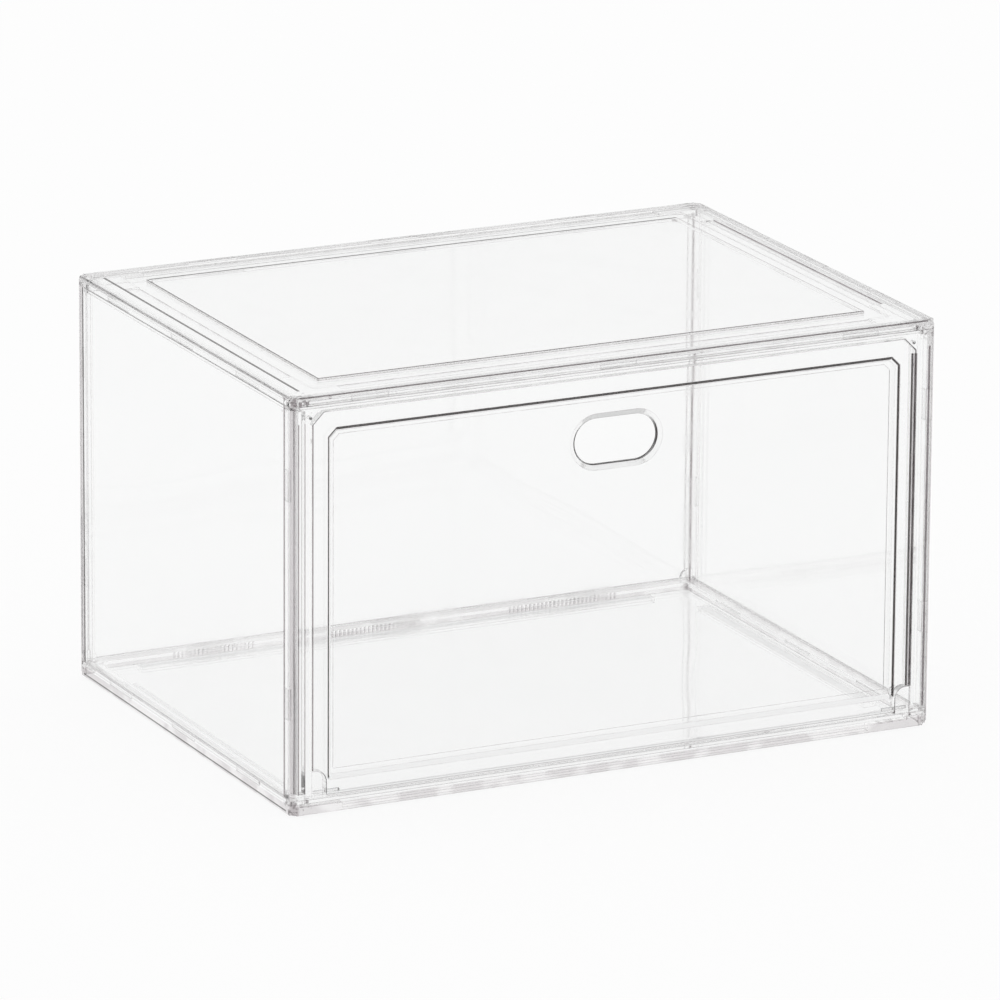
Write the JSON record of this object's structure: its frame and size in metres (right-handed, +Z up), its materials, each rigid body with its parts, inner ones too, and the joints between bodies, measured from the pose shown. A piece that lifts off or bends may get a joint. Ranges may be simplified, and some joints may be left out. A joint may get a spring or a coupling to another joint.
{
  "type": "clear storage case",
  "caption": "Clear moulded stackable storage case with a drop-front door on hinge pins, a finger hole, and a top with a stacking channel.",
  "frame": {"origin": "middle of the footprint, on the surface that the case stands on", "axes": "+X to the right across the width seen from the front, +Y from the door to the back wall, +Z up"},
  "size_m": [0.36, 0.263, 0.2173],
  "materials": {
    "clear_base": "clear polished",
    "clear_top": "clear polished",
    "clear_wall": "clear polished",
    "clear_frame": "clear polished",
    "clear_door": "clear polished",
    "clear_pin": "clear polished"
  },
  "bodies": {
    "case": {"base_panel": "clear_base", "top_panel": "clear_top", "left_panel": "clear_wall", "right_panel": "clear_wall", "back_panel": "clear_wall", "front_frame": "clear_frame", "hinge_pin_left": "clear_pin", "hinge_pin_right": "clear_pin"},
    "door": {"door_panel": "clear_door"}
  },
  "joints": [
    {"name": "door_hinge", "type": "hinge", "parent": "case", "child": "door", "pos_m": [0, -0.1287, 0.0118], "axis": [1, 0, 0], "range_deg": [0, 90]}
  ]
}
